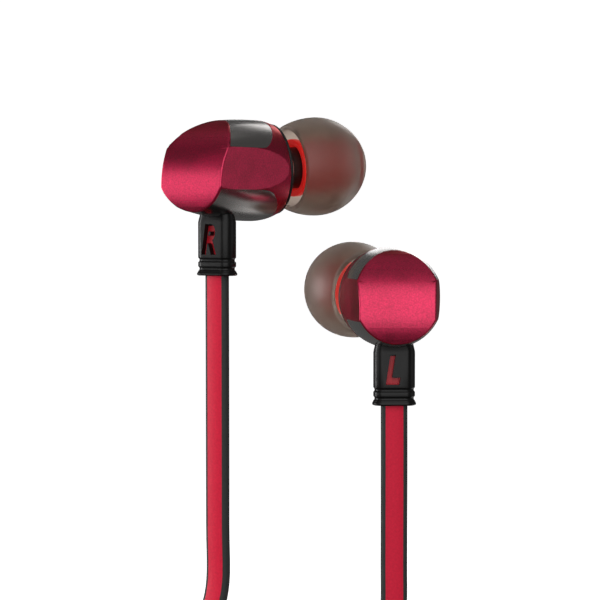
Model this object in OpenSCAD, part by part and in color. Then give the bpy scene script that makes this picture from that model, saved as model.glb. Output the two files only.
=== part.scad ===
// Wired in-ear earphones with a flat cord, held up by the ear tips.
//
// Frame: +X to the wearer's left, +Y from the back of the housings to the ear, +Z up.
// The origin is the centre of the right ear tip's largest circle. Each earpiece is drawn
// in its own frame: X to the nozzle's side, Y forward along the housing's axis, Z up,
// with its origin at the centre of the housing's largest circle.

/* [Housing] */
// Largest radius of the housing
housing_r = 6.55; // [6.2:0.05:7]
// Radius of the long arc that narrows the housing towards its back
belly_r = 62; // [45:1:90]
// Distance of the curved back face's middle below the axis, which tilts the face
back_drop = 2.2; // [1.8:0.1:2.6]
// Length from the largest circle to the furthest line of the curved back face
back_length = 12.45; // [12:0.05:12.8]
// Half width of the flat sides near the back face
side_back = 5; // [4.8:0.05:5.2]
// Width of the bevel where the flat sides meet the back face
back_bevel = 0.15; // [0.05:0.05:0.3]
// Wall of the metal cover
cover_wall = 0.55; // [0.45:0.05:0.6]
// Wall of the polished barrel inside the cover
barrel_wall = 0.6; // [0.5:0.05:0.65]
// Half width of the two windows
window_half_w = 5.8; // [5.6:0.05:5.9]
// Height of the windows' straight edges above and below the axis
window_edge = 2.5; // [2.4:0.05:2.7]
// Corner radius at the front of a window
window_corner_r = 5; // [4.4:0.1:5.2]
// Distance of the upper window's front end past the largest circle
window_front = 0.25; // [-0.5:0.05:0.5]
// Distance of the lower window's front end past the largest circle
lower_window_front = 1.3; // [0.8:0.05:1.5]
// Depth of cover left between the back face and the windows
window_back = 0.3; // [0.25:0.05:0.5]

/* [Nozzle] */
// Angle of the nozzle to the side, away from the housing's axis
nozzle_turn = 27; // [20:1:30]
// Angle of the nozzle upwards
nozzle_rise = 4; // [0:1:8]
// Distance of the housing's front face along the nozzle's axis
front_at = 2.9; // [2.7:0.05:3.1]
// Outer radius of the nozzle's neck
neck_r = 2.7; // [2.5:0.05:2.8]
// Wall of the nozzle
neck_wall = 0.6; // [0.4:0.05:0.8]
// Distance of the nozzle's open end along its axis
neck_end = 11.2; // [10.8:0.1:12]
// Radius of the lip that holds the ear tip
lip_r = 3.05; // [2.95:0.05:3.1]
// Distance of the lip's middle along the axis
lip_at = 9; // [8.5:0.1:9.5]
// Radius of the gasket round the front cap
gasket_r = 5.27; // [5.2:0.01:5.35]
// Width of the gasket's face
gasket_w = 0.45; // [0.35:0.05:0.6]
// Height that the gasket stands above the front face
gasket_proud = 0.22; // [0.1:0.02:0.3]
// Radius of the bright ring at the root of the neck
ring_r = 3; // [2.9:0.05:3.2]
// Thickness of the bright ring
ring_h = 0.35; // [0.25:0.05:0.5]
// Distance of the bright ring along the nozzle's axis
ring_at = 4.5; // [4.2:0.05:4.8]
// Radius of each hole in the sound screen
screen_hole_r = 0.2; // [0.15:0.01:0.22]

/* [Ear tip] */
// Largest radius of the ear tip
tip_r = 6.45; // [5.9:0.05:6.6]
// Distance of the largest circle along the nozzle's axis
tip_at = 9.5; // [9.2:0.1:9.8]
// Radius of the arc of the front half
tip_front_arc = 7.1; // [6.8:0.1:7.4]
// Radius of the arc of the skirt
tip_skirt_arc = 9.5; // [8.5:0.1:10.5]
// Length of the skirt behind the largest circle
skirt_length = 4; // [3.2:0.1:4.2]
// Wall of the soft dome
dome_wall = 0.6; // [0.45:0.05:0.8]
// Outer radius of the firm core
core_r = 3.6; // [3.5:0.05:3.8]
// Distance of the core's back face along the nozzle's axis
core_back = 6; // [5.9:0.1:6.4]
// Radius of the bead round the core's back end
core_bead_r = 3.75; // [3.6:0.05:3.9]
// Distance of the core's front end along the nozzle's axis
core_front = 14.5; // [14:0.1:14.7]
// Running clearance of the core over the lip
tip_clearance = 0.05; // [0.02:0.01:0.09]
// Radius of the sound opening in the front of the dome
sound_r = 2.7; // [2.4:0.1:2.9]

/* [Driver] */
// Clearance of the driver's flange inside the barrel's largest circle
driver_gap = 0.17; // [0.12:0.01:0.3]
// Width of the flange outside the driver's cup
flange_w = 0.6; // [0.5:0.05:0.7]
// Distance of the flange's front behind the largest circle
flange_front = 1.3; // [1.2:0.05:1.5]
// Thickness of the flange
flange_t = 0.7; // [0.5:0.05:0.9]
// Depth of the cup behind the flange's front
cup_depth = 3.9; // [3.6:0.1:4.2]
// Wall of the cup
cup_wall = 0.45; // [0.35:0.05:0.5]
// Width of the gap between the plate and the cup, in which the voice coil moves
coil_gap = 0.75; // [0.7:0.05:0.85]
// Width that the plate stands out over the magnet
plate_out = 0.2; // [0.1:0.05:0.3]
// Thickness of the magnet
magnet_t = 1.6; // [1.3:0.1:1.8]
// Thickness of the plate
plate_t = 0.5; // [0.4:0.05:0.6]
// Thickness of the voice coil's winding
coil_t = 0.26; // [0.2:0.02:0.3]
// Length of the voice coil
coil_h = 1.5; // [1.2:0.1:1.7]
// Thickness of the diaphragm
film_t = 0.15; // [0.1:0.01:0.2]
// Radius of the terminal board
board_r = 3.2; // [2.8:0.1:3.6]
// Thickness of the terminal board
board_t = 0.6; // [0.4:0.05:0.8]

/* [Cord boot] */
// Width of the boot
boot_w = 5.3; // [5:0.1:5.8]
// Thickness of the boot
boot_t = 2.65; // [2.4:0.05:3]
// Distance of the boot's axis behind the largest circle
boot_at = 7.05; // [6.8:0.05:7.4]
// Distance of the boot's lower end below the housing's axis
boot_end = 13.4; // [12.6:0.1:14]
// Height of the flared rim's widest line above the boot's lower end
flare_h = 0.2; // [0.1:0.05:0.3]
// Width that the flared rim stands out
flare_out = 0.15; // [0.1:0.05:0.3]
// Height over which the flare runs back into the boot's side
flare_run = 0.35; // [0.2:0.05:0.4]
// Depth of the two grooves round the boot
groove_depth = 0.16; // [0.1:0.02:0.24]
// Radius of the grooves' hollow
groove_r = 0.32; // [0.28:0.02:0.4]
// Distance between the two grooves
groove_step = 1.1; // [0.8:0.05:1.2]
// Width of the coloured core inside the boot
inlay_w = 4.1; // [3.6:0.1:4.4]
// Thickness of the coloured core inside the boot
inlay_t = 1.6; // [1.4:0.05:1.8]
// Width of the neck that passes through the barrel
boot_neck_w = 3.9; // [3.4:0.1:4.2]
// Thickness of the neck
boot_neck_t = 1.5; // [1.3:0.05:1.7]

/* [Placing] */
// Turn of the right earpiece about the vertical
right_yaw = 35; // [20:1:45]
// Turn of the left earpiece about the vertical
left_yaw = 2; // [0:1:10]
// Distance of the left earpiece to the side of the right one
left_across = 18.1; // [17:0.1:30]
// Distance of the left earpiece in front of the right one
left_ahead = 1.3; // [1:0.1:1.6]
// Distance of the left earpiece below the right one
left_below = 16.4; // [15:0.1:20]

/* [Cord] */
// Width of the flat cord
cord_w = 3.4; // [3:0.1:3.4]
// Thickness of the flat cord
cord_t = 1.3; // [1.1:0.05:1.3]
// Distance between neighbouring turns of the coil
coil_pitch = 1.8; // [1.8:0.05:1.9]

/* [Plug] */
// Radius of the moulded grip
grip_r = 3.5; // [3.2:0.1:3.6]
// Length of the grip
grip_h = 14; // [12:0.5:16]
// Length of the strain relief above the grip
relief_h = 8; // [6:0.5:9]
// Radius of the strain relief's upper end
relief_r = 2.1; // [2:0.1:2.4]
// Radius of the contact pin
pin_r = 1.75; // [1.5:0.05:1.75]
// Length of the contact pin
pin_length = 14; // [13:0.5:15]
// Radius of the rod inside the pin
rod_r = 0.7; // [0.5:0.05:0.9]

/* [Splitter and tie] */
// Width of the splitter
splitter_w = 8.3; // [8.2:0.1:9]
// Thickness of the splitter
splitter_t = 3.2; // [2.8:0.1:4]
// Length of the splitter
splitter_h = 11; // [10:0.5:12]
// Width of the tie band
tie_h = 6; // [4:0.5:8]
// Thickness of the tie band
tie_t = 0.8; // [0.6:0.1:1.2]

/* [Hidden] */

red = [0.74, 0.13, 0.29];
grey_metal = [0.45, 0.45, 0.47];
black = [0.17, 0.17, 0.18];
chrome = [0.85, 0.85, 0.86];
tip_red = [0.78, 0.05, 0.08];
smoke = [0.5, 0.46, 0.43];
steel = [0.62, 0.62, 0.62];
copper = [0.72, 0.42, 0.22];
film = [0.8, 0.72, 0.5];
board_green = [0.1, 0.35, 0.2];
gold = [0.83, 0.68, 0.3];

round_fn = 96;          // sides of a round piece in a preview
fit = 0.03;             // gap between pieces that are glued or pressed together
far = 40;               // longer than any piece of an earpiece
side_front_at = -0.5;   // where the flat sides leave the round housing
side_back_at = -10.75;  // where their half width is side_back
back_rise = 0.25;       // height of the back face's top above the largest circle

back_r = housing_r + back_drop + back_rise;
back_centre = back_r - back_length;
tail = -back_length - 2;
side_slope = (housing_r - side_back) / (side_front_at - side_back_at);
side_angle = atan(side_slope);

// Half width of the flat sides at a distance y along the axis.
function side_at(y) = housing_r - (side_front_at - y) * side_slope;

inner_wall = cover_wall + fit + barrel_wall;
cap_seat = front_at - cover_wall - fit;
cap_r = gasket_r - gasket_w - fit;
front_hole_r = gasket_r + fit;
spigot_r = cap_r - 0.45;
bore_r = lip_r + tip_clearance;
screen_t = 0.25;
flange_r = side_at(-flange_front - flange_t) - inner_wall - driver_gap;
seat_r = flange_r - 0.55;       // inner edge of the flange's face, on which the diaphragm sits
seat_drop = 0.45;
cup_r = flange_r - flange_w;
plate_r = cup_r - cup_wall - coil_gap;
magnet_r = plate_r - plate_out;
coil_r = plate_r + coil_gap / 2;
film_r = flange_r - 0.1;
cup_back = -flange_front - cup_depth;
plate_front = cup_back + cup_wall + magnet_t + plate_t;
coil_front = -flange_front - film_t - 0.3;
dome_rim = 0.87 * coil_r;       // the diaphragm's dome, from its rim to halfway in
dome_middle = 0.53 * coil_r;
boot_top = housing_r - boot_at * boot_at / (2 * belly_r);

// Stands a profile of radius and height along Y, so that its height runs forward.
module along_y() {
    rotate([-90, 0, 0]) children();
}

// Stands a profile along the nozzle's axis.
module along_nozzle() {
    rotate([0, 0, -nozzle_turn]) rotate([nozzle_rise, 0, 0]) along_y() children();
}

module ring(outer, inner, from, to) {
    translate([0, 0, from])
        difference() {
            cylinder(r = outer, h = to - from, $fn = round_fn);
            translate([0, 0, -1]) cylinder(r = inner, h = to - from + 2, $fn = round_fn);
        }
}

// A flat bar with round ends: its width along X, its thickness along Y, from z low to high.
module flat_bar(width, thickness, low, high) {
    reach = (width - thickness) / 2;
    translate([0, 0, low]) {
        translate([-reach, -thickness / 2, 0]) cube([2 * reach, thickness, high - low]);
        for (side = [-1, 1])
            translate([side * reach, 0, 0]) cylinder(d = thickness, h = high - low, $fn = 48);
    }
}

// The same bar with sides that lean: it stands out by at_low at its foot and by at_high at its top.
module leaning_bar(width, thickness, low, high, at_low, at_high) {
    reach = (width - thickness) / 2;
    half = thickness / 2;
    translate([0, 0, low]) {
        rotate([90, 0, 90])
            translate([0, 0, -reach])
                linear_extrude(2 * reach)
                    polygon([
                        [-half - at_low, 0], [half + at_low, 0],
                        [half + at_high, high - low], [-half - at_high, high - low]
                    ]);
        for (side = [-1, 1])
            translate([side * reach, 0, 0])
                cylinder(r1 = half + at_low, r2 = half + at_high, h = high - low, $fn = 48);
    }
}

// Right and left earpieces are mirror images, each turned about the vertical.
nozzle_yaw_right = right_yaw + nozzle_turn;
right_at = -tip_at * [
    sin(nozzle_yaw_right) * cos(nozzle_rise),
    cos(nozzle_yaw_right) * cos(nozzle_rise),
    sin(nozzle_rise)
];
left_at = right_at + [left_across, left_ahead, -left_below];

module at_right() {
    translate(right_at) rotate([0, 0, -right_yaw]) children();
}

module at_left() {
    translate(left_at) rotate([0, 0, left_yaw]) mirror([1, 0, 0]) children();
}

// ---- Housing ----

// The flat sides seen from above: they close in from the largest circle to the back.
module side_plan(inset) {
    polygon([
        [inset - side_at(tail), tail], [side_at(tail) - inset, tail],
        [housing_r - inset, side_front_at], [housing_r - inset, far],
        [inset - housing_r, far], [inset - housing_r, side_front_at]
    ]);
}

// Everything in front of the curved back face.
module ahead_of_back(inset) {
    translate([0, back_centre, -back_drop]) {
        rotate([0, 90, 0])
            cylinder(r = back_r - inset, h = far, center = true, $fn = round_fn);
        translate([-far / 2, 0, -far / 2]) cube([far, far, far]);
    }
}

// A wide cone, square to one flat side, that cuts a bevel where the side meets the back face.
module inside_bevel(side, bevel) {
    rim = back_r / cos(side_angle) - bevel;
    translate([side * side_at(back_centre), back_centre, -back_drop])
        rotate([0, 0, -side * side_angle])
            rotate([0, -90 * side, 0])
                cylinder(r1 = rim, r2 = rim + far, h = far, $fn = round_fn);
}

// The housing's outer form, or a smaller one inside it: a long narrowing arc turned about
// the axis, a ball in front of the largest circle, flat sides, a curved and tilted back with
// bevels at the sides, and a front face square to the nozzle.
module housing_form(inset) {
    intersection() {
        union() {
            along_y() rotate_extrude($fn = round_fn)
                intersection() {
                    translate([housing_r - belly_r, 0]) circle(r = belly_r - inset, $fn = 360);
                    translate([0, -14]) square([housing_r, 14]);
                }
            sphere(r = housing_r - inset, $fn = round_fn);
        }
        translate([0, 0, -far / 2]) linear_extrude(far) side_plan(inset);
        ahead_of_back(inset);
        inside_bevel(-1, inset > 0 ? -1 : back_bevel);
        inside_bevel(1, inset > 0 ? -1 : back_bevel);
        along_nozzle() translate([0, 0, front_at - inset - far]) cylinder(r = far, h = far);
    }
}

// Plan of a window: straight sides and a round front.
module window_plan(inset, front) {
    half_w = window_half_w - inset;
    corner = window_corner_r - inset;
    corner_at = front - window_corner_r;
    for (side = [-1, 1])
        translate([side * (half_w - corner), corner_at]) circle(r = corner, $fn = round_fn);
    translate([corner - half_w, corner_at]) square([2 * (half_w - corner), corner]);
    translate([-half_w, -far]) square([2 * half_w, far + corner_at]);
}

// The spaces above and below that the cover leaves open, each from its straight edges
// outwards and up to the rim of the back face.
module window(inset) {
    intersection() {
        union() {
            translate([0, 0, window_edge + inset])
                linear_extrude(far) window_plan(inset, window_front);
            translate([0, 0, -window_edge - inset - far])
                linear_extrude(far) window_plan(inset, lower_window_front);
        }
        translate([0, window_back + inset, 0]) ahead_of_back(0);
    }
}

module cover() {
    color(red)
        difference() {
            housing_form(0);
            housing_form(cover_wall);
            window(0);
            along_nozzle() cylinder(r = front_hole_r, h = far, $fn = round_fn);
        }
}

// The polished barrel lines the cover and fills its windows flush.
module barrel() {
    ledge_front = -flange_front - flange_t;
    color(grey_metal)
        difference() {
            union() {
                difference() {
                    union() {
                        housing_form(cover_wall + fit);
                        intersection() {
                            housing_form(0);
                            window(fit);
                        }
                    }
                    housing_form(inner_wall);
                }
                intersection() {
                    along_y() ring(housing_r - inner_wall + fit, cup_r + fit,
                                   ledge_front - 0.6, ledge_front);
                    housing_form(cover_wall + 2 * fit);
                }
            }
            along_nozzle() cylinder(r = spigot_r + fit, h = far, $fn = round_fn);
            translate([0, -boot_at, 0])
                flat_bar(boot_neck_w + 2 * fit, boot_neck_t + 2 * fit, -housing_r - 1, 0);
        }
}

module front_gasket() {
    color(black)
        along_nozzle() ring(gasket_r, gasket_r - gasket_w, cap_seat + fit, front_at + gasket_proud);
}

// A low dome with a spigot that fits the barrel's front hole and a bore for the nozzle.
module front_cap() {
    color(black)
        along_nozzle()
            difference() {
                rotate_extrude($fn = round_fn)
                    polygon([
                        [neck_r + fit, cap_seat - 1.1], [spigot_r, cap_seat - 1.1],
                        [spigot_r, cap_seat + fit], [cap_r, cap_seat + fit],
                        [cap_r, front_at + 0.1], [cap_r - 0.5, front_at + 0.65],
                        [ring_r + 0.3, ring_at - 0.25], [ring_r, ring_at], [neck_r + fit, ring_at]
                    ]);
                cylinder(r = neck_r + 1 + fit, h = cap_seat - 0.5, $fn = round_fn);
            }
}

// The nozzle's tube with its flange under the cap and the lip that holds the ear tip.
module nozzle() {
    flange_top = cap_seat - 0.5 - fit;
    color(black)
        along_nozzle()
            rotate_extrude($fn = round_fn)
                polygon([
                    [neck_r - neck_wall, flange_top - 0.5], [neck_r + 1, flange_top - 0.5],
                    [neck_r + 1, flange_top], [neck_r, flange_top], [neck_r, lip_at - 0.7],
                    [lip_r, lip_at - 0.2], [lip_r, lip_at + 0.2], [neck_r, lip_at + 1],
                    [neck_r, neck_end - 0.2], [neck_r - 0.2, neck_end],
                    [neck_r - neck_wall, neck_end]
                ]);
}

module nozzle_ring() {
    color(chrome) along_nozzle() ring(ring_r, neck_r + fit, ring_at + fit, ring_at + ring_h);
}

// A thin disc with a hole in the middle and two rows of holes round it.
module sound_screen() {
    disc_r = neck_r - neck_wall - fit;
    color(steel)
        along_nozzle()
            translate([0, 0, neck_end - 0.6])
                difference() {
                    cylinder(r = disc_r, h = screen_t, $fn = round_fn);
                    translate([0, 0, -1]) {
                        cylinder(r = screen_hole_r, h = 3, $fn = 16);
                        for (row = [1, 2], step = [0:6 * row - 1])
                            rotate([0, 0, 60 * step / row])
                                translate([row * disc_r * 0.38, 0, 0])
                                    cylinder(r = screen_hole_r, h = 3, $fn = 16);
                    }
                }
}

// ---- Ear tip ----

module tip_core() {
    color(tip_red)
        along_nozzle()
            difference() {
                union() {
                    translate([0, 0, core_back])
                        cylinder(r = core_r, h = core_front - core_back, $fn = round_fn);
                    translate([0, 0, core_back]) cylinder(r = core_bead_r, h = 0.8, $fn = round_fn);
                }
                translate([0, 0, core_back - 1])
                    cylinder(r = bore_r, h = neck_end + 0.4 - core_back + 1, $fn = round_fn);
                cylinder(r = sound_r, h = far, $fn = round_fn);
            }
}

// Outline of the dome in radius and height, drawn in by inset: a front arc and a skirt arc
// that meet at the largest circle.
module dome_outline(inset) {
    translate([0, tip_at])
        intersection() {
            translate([tip_r - tip_front_arc, 0]) circle(r = tip_front_arc - inset, $fn = 180);
            square([tip_r, far]);
        }
    translate([0, tip_at])
        intersection() {
            translate([tip_r - tip_skirt_arc, 0]) circle(r = tip_skirt_arc - inset, $fn = 180);
            translate([0, -skirt_length]) square([tip_r, skirt_length]);
        }
}

// The soft umbrella, open at the back, which grips the core near its front end.
module tip_dome() {
    color(smoke)
        along_nozzle()
            difference() {
                rotate_extrude($fn = round_fn) dome_outline(0);
                intersection() {
                    rotate_extrude($fn = round_fn) dome_outline(dome_wall);
                    translate([0, 0, -1])
                        cylinder(r = far, h = neck_end + 2.3 + 1, $fn = round_fn);
                }
                cylinder(r = core_r + fit, h = core_front + fit, $fn = round_fn);
                cylinder(r = sound_r, h = far, $fn = round_fn);
                translate([0, 0, tip_at - skirt_length - 1])
                    cylinder(r = tip_r - tip_skirt_arc + sqrt(pow(tip_skirt_arc - dome_wall, 2)
                             - pow(skirt_length, 2)), h = 1.01, $fn = round_fn);
            }
}

// ---- Driver ----

module driver_cup() {
    color(steel)
        along_y()
            rotate_extrude($fn = round_fn)
                polygon([
                    [0, cup_back], [cup_r, cup_back], [cup_r, -flange_front - flange_t],
                    [flange_r, -flange_front - flange_t], [flange_r, -flange_front],
                    [seat_r, -flange_front], [seat_r, -flange_front - seat_drop],
                    [cup_r - cup_wall, -flange_front - seat_drop],
                    [cup_r - cup_wall, cup_back + cup_wall], [0, cup_back + cup_wall]
                ]);
}

module driver_magnet() {
    color(steel)
        along_y() translate([0, 0, cup_back + cup_wall])
            cylinder(r = magnet_r, h = magnet_t, $fn = round_fn);
}

module driver_plate() {
    color(steel)
        along_y() translate([0, 0, cup_back + cup_wall + magnet_t])
            cylinder(r = plate_r, h = plate_t, $fn = round_fn);
}

module voice_coil() {
    color(copper)
        along_y() ring(coil_r + coil_t / 2, coil_r - coil_t / 2, coil_front - coil_h, coil_front);
}

// A shallow dome inside the voice coil and a folded surround outside it.
module diaphragm() {
    color(film)
        along_y()
            rotate_extrude($fn = round_fn)
                polygon([
                    [0, coil_front + 0.45], [dome_middle, coil_front + 0.33],
                    [dome_rim, coil_front + 0.1],
                    [coil_r - coil_t / 2, coil_front], [coil_r + coil_t / 2, coil_front],
                    [coil_r + 0.35, coil_front + 0.12], [seat_r - 0.15, coil_front + 0.3],
                    [seat_r - 0.05, -flange_front], [film_r, -flange_front],
                    [film_r, -flange_front + film_t], [seat_r - 0.15, -flange_front + film_t],
                    [seat_r - 0.35, coil_front + 0.3 + film_t],
                    [coil_r + 0.35, coil_front + 0.12 + film_t], [coil_r, coil_front + film_t],
                    [dome_rim, coil_front + 0.1 + film_t],
                    [dome_middle, coil_front + 0.33 + film_t], [0, coil_front + 0.45 + film_t]
                ]);
}

module terminal_board() {
    color(board_green)
        along_y() {
            translate([0, 0, cup_back - board_t]) cylinder(r = board_r, h = board_t, $fn = 48);
            for (side = [-1, 1])
                translate([side * board_r / 2, 0, cup_back - board_t - 0.2])
                    cylinder(r = 0.55, h = 0.25, $fn = 24);
        }
}

// ---- Cord boot ----

module boot_core() {
    color(tip_red)
        translate([0, -boot_at, 0]) flat_bar(inlay_w, inlay_t, 0.9 - boot_end, 0.7 - boot_top - 1.6);
}

// The soft boot: a flat bar with two grooves and a flared rim, seated on the barrel's
// underside, with a neck through the barrel and a pad inside it.
module boot() {
    color(black)
        difference() {
            union() {
                difference() {
                    translate([0, -boot_at, 0]) {
                        flat_bar(boot_w, boot_t, -boot_end, -boot_top + 1.6);
                        leaning_bar(boot_w, boot_t, -boot_end, flare_h - boot_end,
                                    flare_out / 2, flare_out);
                        leaning_bar(boot_w, boot_t, flare_h - boot_end,
                                    flare_h + flare_run - boot_end, flare_out, 0);
                    }
                    housing_form(-0.01);
                    for (step = [0, 1])
                        translate([0, -boot_at, 0])
                            groove(flare_h + flare_run + groove_r + step * groove_step - boot_end);
                }
                translate([0, -boot_at, 0]) {
                    flat_bar(boot_neck_w, boot_neck_t, -boot_top - 0.1, inner_wall + 0.9 - boot_top);
                    flat_bar(boot_neck_w + 0.5, boot_neck_t + 0.6, inner_wall + 0.7 - boot_top,
                             inner_wall + 1.3 - boot_top);
                }
            }
            translate([0, -boot_at, 0])
                flat_bar(inlay_w + 2 * fit, inlay_t + 2 * fit, 0.9 - fit - boot_end,
                         0.7 + fit - boot_top - 1.6);
        }
}

// A hollow groove round the boot, with its middle at the given height.
module groove(height) {
    reach = (boot_w - boot_t) / 2;
    out = boot_t / 2 + groove_r - groove_depth;
    translate([0, 0, height])
        for (side = [-1, 1]) {
            translate([-reach, side * out, 0])
                rotate([0, 90, 0]) cylinder(r = groove_r, h = 2 * reach, $fn = 32);
            intersection() {
                translate([side * reach, 0, 0])
                    rotate_extrude($fn = 48) translate([out, 0]) circle(r = groove_r, $fn = 32);
                translate([side > 0 ? reach : -reach - far, -far / 2, -1]) cube([far, far, 2]);
            }
        }
}

// ---- Cord ----
// Every route is given from the middle of the coil, which hangs below the earpieces, and
// each point is [x, y, z, turn]. Turn is the angle of the cord's flat side: at 0 its width
// lies along X where the cord hangs, and at 90 it lies along Y.

coil_at = [-1.4, -10.2, -90];
right_exit = right_at - boot_at * [sin(right_yaw), cos(right_yaw), 0] - coil_at;
left_exit = left_at - boot_at * [-sin(left_yaw), cos(left_yaw), 0] - coil_at;

right_route = [
    [right_exit[0], right_exit[1], right_exit[2] - boot_end, -right_yaw],
    [-11, 0, 68, -right_yaw], [-11, 0, 60, -right_yaw], [-11, 0, 52, -right_yaw],
    [-11, 0, 44, -right_yaw], [-11, 0, 37, -right_yaw], [-12, -0.2, 32.8, -40],
    [-14.4, -0.5, 28.6, -50], [-17.5, -1, 24.5, -60], [-20.6, -1.5, 20.4, -72],
    [-23, -1.8, 16.2, -82], [-24, -1.95, 12, -90], [-24, -1.95, 8, -90], [-24, -1.95, 3.5, -90]
];
left_route = [
    [left_exit[0], left_exit[1], left_exit[2] - boot_end, left_yaw],
    [11.4, 0, 52, 2], [11.4, 0, 45, 2], [11.4, 0, 39, 2], [11.4, 0, 34.3, 4],
    [11.1, 0.1, 32, 12], [10, 0.3, 29.8, 26], [8.3, 0.6, 28.1, 42], [5.9, 1, 27.1, 58],
    [3.3, 1.4, 26.3, 72], [0.4, 1.8, 25.4, 84], [-2.9, 1.95, 24.5, 90]
];
tail_route = [
    [0.8, 10.2, 24.4, 90], [-2.4, 10.3, 24.5, 90], [-5.5, 10.6, 23.3, 90], [-7.9, 11, 21, 90],
    [-9.3, 11.4, 18, 90], [-9.7, 11.7, 15, 90], [-9.7, 11.8, 11, 90]
];

coil_steps = 24;        // rings in one turn
upper_r = 24;           // radius of the upper cords' coil where the right one joins it
upper_join = 180;
upper_end = 810;
left_join = 105;
layer = 1.95;           // distance of the two upper cords' layers from the middle plane
inner_r = 12.5;         // radius of the main cord's first turn
main_start = 270;
main_end = 2600;
main_layer = 6.2;
main_lift = 10.2;       // the main cord leaves its layer here, behind the coil
lift_turn = 50;
bend_r = 7.5;           // radius of the bends inside the coil
fork_x = -7.5;
fork_top = 9;

function ease(u) = u <= 0 ? 0 : u >= 1 ? 1 : u * u * (3 - 2 * u);
function on_circle(r, a) = [r * cos(a), r * sin(a)];
function upper_radius(a) = upper_r - coil_pitch * (a - upper_join) / 360;
function main_radius(a) = inner_r + coil_pitch * (a - main_start) / 360;

// One upper cord from its first angle to the splitter. side is -1 in front and 1 behind.
function upper_coil(first, side) = let (
        r0 = upper_radius(first),
        r1 = upper_radius(upper_end),
        turn = 90 * side,
        y = layer * side,
        steps = round((upper_end - first) / 360 * coil_steps),
        lead = cord_w
    ) concat(
        [[r0 * cos(first) + lead * sin(first), y, r0 * sin(first) - lead * cos(first), turn]],
        [for (i = [0:steps])
            let (a = first + (upper_end - first) * i / steps, p = on_circle(upper_radius(a), a))
                [p[0], y, p[1], turn]],
        [for (i = [1:6])
            let (p = on_circle(bend_r, 90 + 15 * i)) [p[0], y, r1 - bend_r + p[1], turn]],
        [[fork_x, y, fork_top, turn]]
    );

// The main cord from the splitter, out through all its turns, to where it leaves the coil.
function main_coil() = let (
        steps = round((main_end - main_start) / 360 * coil_steps),
        low = bend_r - inner_r,
        leave = on_circle(main_radius(main_end), main_end)
    ) concat(
        [[fork_x, 0, fork_top - splitter_h, 90]],
        [for (i = [0:5])
            let (a = 180 + 15 * i, p = on_circle(bend_r, a))
                [p[0], main_layer * ease((a - 180) / 180), low + p[1], 90]],
        [for (i = [0:steps])
            let (
                a = main_start + (main_end - main_start) * i / steps,
                p = on_circle(main_radius(a), a),
                up = ease((a - 180) / 180),
                lift = ease((a - main_end + lift_turn) / lift_turn)
            ) [p[0], main_layer * up + (main_lift - main_layer) * lift, p[1], 90]],
        [[leave[0] - cord_w * sin(main_end), main_lift, leave[1] + cord_w * cos(main_end), 90]]
    );

right_coil = upper_coil(upper_join, -1);
left_coil = upper_coil(left_join, 1);
main_turns = main_coil();

function place(route, i) = [route[i][0], route[i][1], route[i][2]];
function unit(v) = v / norm(v);
function heading(route, i) = let (n = len(route) - 1)
    unit(place(route, min(i + 1, n)) - place(route, max(i - 1, 0)));

// A ring of the cord's outline round one point of a route.
function cord_ring(route, i, outline) = let (
        t = heading(route, i),
        m = unit(cross(t, [0, 1, 0])),
        b = cross(m, t),
        a = route[i][3],
        w = cos(a) * m + sin(a) * b,
        h = cos(a) * b - sin(a) * m
    ) [for (c = outline) place(route, i) + c[0] * w + c[1] * h];

// One closed tube along a route.
module cord_tube(route, outline) {
    n = len(outline);
    last = len(route) - 1;
    points = [for (i = [0:last]) each cord_ring(route, i, outline)];
    walls = [for (i = [0:last - 1], k = [0:n - 1])
        let (a = i * n + k, b = i * n + (k + 1) % n) each [[a, a + n, b + n], [a, b + n, b]]];
    ends = [for (k = [1:n - 2]) each [[0, k, k + 1], [last * n, last * n + k + 1, last * n + k]]];
    translate(coil_at) polyhedron(points, concat(walls, ends), convexity = 10);
}

cord_outline = let (w = cord_w / 2, h = cord_t / 2, flat = w - 0.4, edge = h - 0.38)
    [[w, -edge], [w, edge], [flat, h], [-flat, h], [-w, edge], [-w, -edge], [-flat, -h], [flat, -h]];
turn_outline = let (w = cord_w / 2, h = cord_t / 2, flat = w - 0.5)
    [[w, 0], [flat, h], [-flat, h], [-w, 0], [-flat, -h], [flat, -h]];

// Least distance between the points of neighbouring turns, less the cord's thickness.
function least_gap(route) = let (n = len(route) - 1)
    min([for (i = [0:n - 18], j = [i + 18:min(i + 30, n)]) norm(place(route, i) - place(route, j))])
        - cord_t;
function length_of(route) = let (n = len(route) - 1, steps = [for (i = [0:n - 1])
    norm(place(route, i + 1) - place(route, i))]) steps * [for (s = steps) 1];

echo(least_gap = [least_gap(right_coil), least_gap(left_coil), least_gap(main_turns)]);
echo(right_length = length_of(right_route) + length_of(right_coil),
     left_length = length_of(left_route) + length_of(left_coil),
     main_length = length_of(main_turns) + length_of(tail_route));

module right_cord() {
    color(red) cord_tube(right_route, cord_outline);
}

module left_cord() {
    color(red) cord_tube(left_route, cord_outline);
}

module main_cord_tail() {
    color(red) cord_tube(tail_route, cord_outline);
}

module coil_of(route) {
    color(red) cord_tube(route, turn_outline);
}

// The moulded piece in which the two upper cords join the main cord.
module splitter() {
    shoulder = splitter_h * 0.45;
    color(black)
        translate(coil_at + [fork_x, 0, fork_top])
            rotate([0, 0, 90]) {
                flat_bar(splitter_w, splitter_t, -shoulder, 0);
                hull() {
                    flat_bar(splitter_w, splitter_t, -shoulder - 0.01, -shoulder);
                    flat_bar(cord_w + 1.2, splitter_t - 0.6, -splitter_h, -splitter_h + 0.6);
                }
            }
}

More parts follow.
